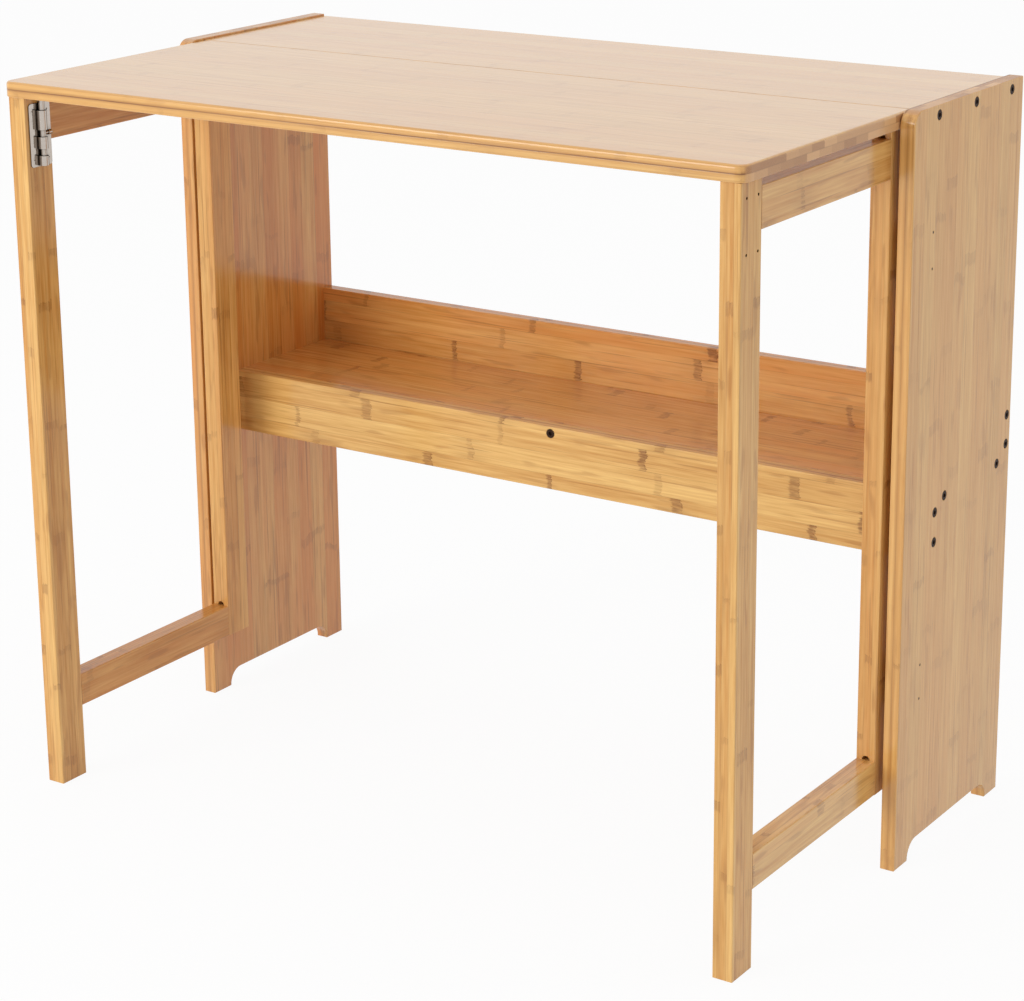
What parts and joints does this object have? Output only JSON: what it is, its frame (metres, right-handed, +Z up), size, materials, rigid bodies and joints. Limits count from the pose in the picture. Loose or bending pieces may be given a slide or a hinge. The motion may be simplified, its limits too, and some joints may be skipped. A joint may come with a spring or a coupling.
{
  "type": "folding desk",
  "caption": "Bamboo gate-leg desk: shallow carcass with tray shelf, drop leaf on butt hinges, two swing-out gate frames with barrel bolts on their front legs.",
  "frame": {"origin": "bottom centre of the bounding box of the desk standing open, on the floor", "axes": "+X to the right of a person sitting at the leaf, +Y to the rear, +Z up; the leaf's front edge is at -Y"},
  "size_m": [0.85, 0.51, 0.73],
  "materials": {
    "bamboo": "satin varnish",
    "black_steel": "black oxide",
    "nickel": "nickel plated",
    "zinc_steel": "zinc plated"
  },
  "bodies": {
    "leaf": {"drop_leaf": "bamboo", "leaf_hinge_leaf_screws": "zinc_steel", "leaf_left_hinge_moving_leaf": "zinc_steel", "leaf_middle_hinge_moving_leaf": "zinc_steel", "leaf_right_hinge_moving_leaf": "zinc_steel"},
    "carcass": {"fixed_top": "bamboo", "leaf_hinge_fixed_top_screws": "zinc_steel", "leaf_left_hinge_fixed_leaf": "zinc_steel", "leaf_left_hinge_pin": "zinc_steel", "leaf_middle_hinge_fixed_leaf": "zinc_steel", "leaf_middle_hinge_pin": "zinc_steel", "leaf_right_hinge_fixed_leaf": "zinc_steel", "leaf_right_hinge_pin": "zinc_steel", "left_gate_hinge_panel_screws": "zinc_steel", "left_gate_lower_hinge_fixed_leaf": "zinc_steel", "left_gate_lower_hinge_pin": "zinc_steel", "left_gate_upper_hinge_fixed_leaf": "zinc_steel", "left_gate_upper_hinge_pin": "zinc_steel", "left_panel_screws": "black_steel", "left_side_panel": "bamboo", "right_gate_hinge_panel_screws": "zinc_steel", "right_gate_lower_hinge_fixed_leaf": "zinc_steel", "right_gate_lower_hinge_pin": "zinc_steel", "right_gate_upper_hinge_fixed_leaf": "zinc_steel", "right_gate_upper_hinge_pin": "zinc_steel", "right_panel_screws": "black_steel", "right_side_panel": "bamboo", "shelf_back_rail": "bamboo", "shelf_board": "bamboo", "shelf_front_rail": "bamboo", "shelf_screws": "black_steel"},
    "left_gate": {"left_bolt_base": "nickel", "left_bolt_screws": "zinc_steel", "left_front_leg": "bamboo", "left_gate_bottom_rail": "bamboo", "left_gate_hinge_stile_screws": "zinc_steel", "left_gate_lower_hinge_moving_leaf": "zinc_steel", "left_gate_top_rail": "bamboo", "left_gate_upper_hinge_moving_leaf": "zinc_steel", "left_rear_stile": "bamboo"},
    "left_bolt": {"left_bolt_rod": "nickel"},
    "right_gate": {"right_bolt_base": "nickel", "right_bolt_screws": "zinc_steel", "right_front_leg": "bamboo", "right_gate_bottom_rail": "bamboo", "right_gate_hinge_stile_screws": "zinc_steel", "right_gate_lower_hinge_moving_leaf": "zinc_steel", "right_gate_top_rail": "bamboo", "right_gate_upper_hinge_moving_leaf": "zinc_steel", "right_rear_stile": "bamboo"},
    "right_bolt": {"right_bolt_rod": "nickel"}
  },
  "joints": [
    {"name": "left_gate_swing", "type": "hinge", "parent": "carcass", "child": "left_gate", "pos_m": [-0.407, 0.057, 0.388], "axis": [0, 0, 1], "range_deg": [0, 90]},
    {"name": "right_gate_swing", "type": "hinge", "parent": "carcass", "child": "right_gate", "pos_m": [0.407, 0.057, 0.388], "axis": [0, 0, -1], "range_deg": [0, 90]},
    {"name": "leaf_hinge", "type": "hinge", "parent": "carcass", "child": "leaf", "pos_m": [0, 0.048, 0.71], "axis": [-1, 0, 0], "range_deg": [0, 2]},
    {"name": "left_bolt_slide", "type": "slide", "parent": "left_gate", "child": "left_bolt", "axis": [0, 0, 1], "range_m": [-0.012, 0]},
    {"name": "right_bolt_slide", "type": "slide", "parent": "right_gate", "child": "right_bolt", "axis": [0, 0, 1], "range_m": [-0.012, 0]}
  ]
}
